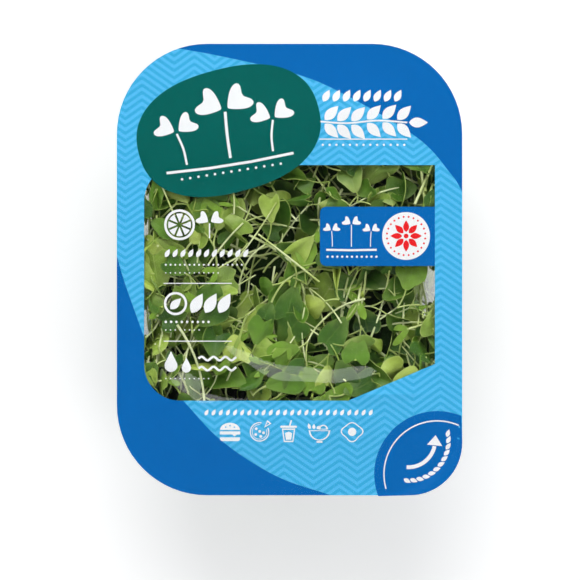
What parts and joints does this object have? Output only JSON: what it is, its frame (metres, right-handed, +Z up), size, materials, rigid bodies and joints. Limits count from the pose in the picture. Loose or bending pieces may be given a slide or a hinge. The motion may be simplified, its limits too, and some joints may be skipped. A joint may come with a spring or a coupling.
{
  "type": "pack of arugula microgreens",
  "caption": "Clear formed tray of arugula microgreens, closed by a printed peel-off lid film with a window and a corner tab.",
  "frame": {"origin": "middle of the tray's underside", "axes": "+Z up through the lid film, +Y along the pack to the end away from the peel tab, +X across it to the tab's side"},
  "size_m": [0.1454, 0.19, 0.0501],
  "materials": {
    "clear_plastic": "clear, glossy thermoformed sheet",
    "leaf": "fresh leaf, satin with a faint waxy sheen",
    "stem": "pale green stem, satin and slightly see-through",
    "film": "clear, glossy lidding film, drawn tight",
    "ink_cyan": "light blue print with a tone-on-tone chevron",
    "ink_blue": "even deep blue print",
    "ink_green": "even dark green print",
    "ink_white": "even white print",
    "ink_red": "even red print"
  },
  "bodies": {
    "root": {"tray": "clear_plastic", "greens": "leaf", "lid_film": "film"}
  },
  "joints": []
}
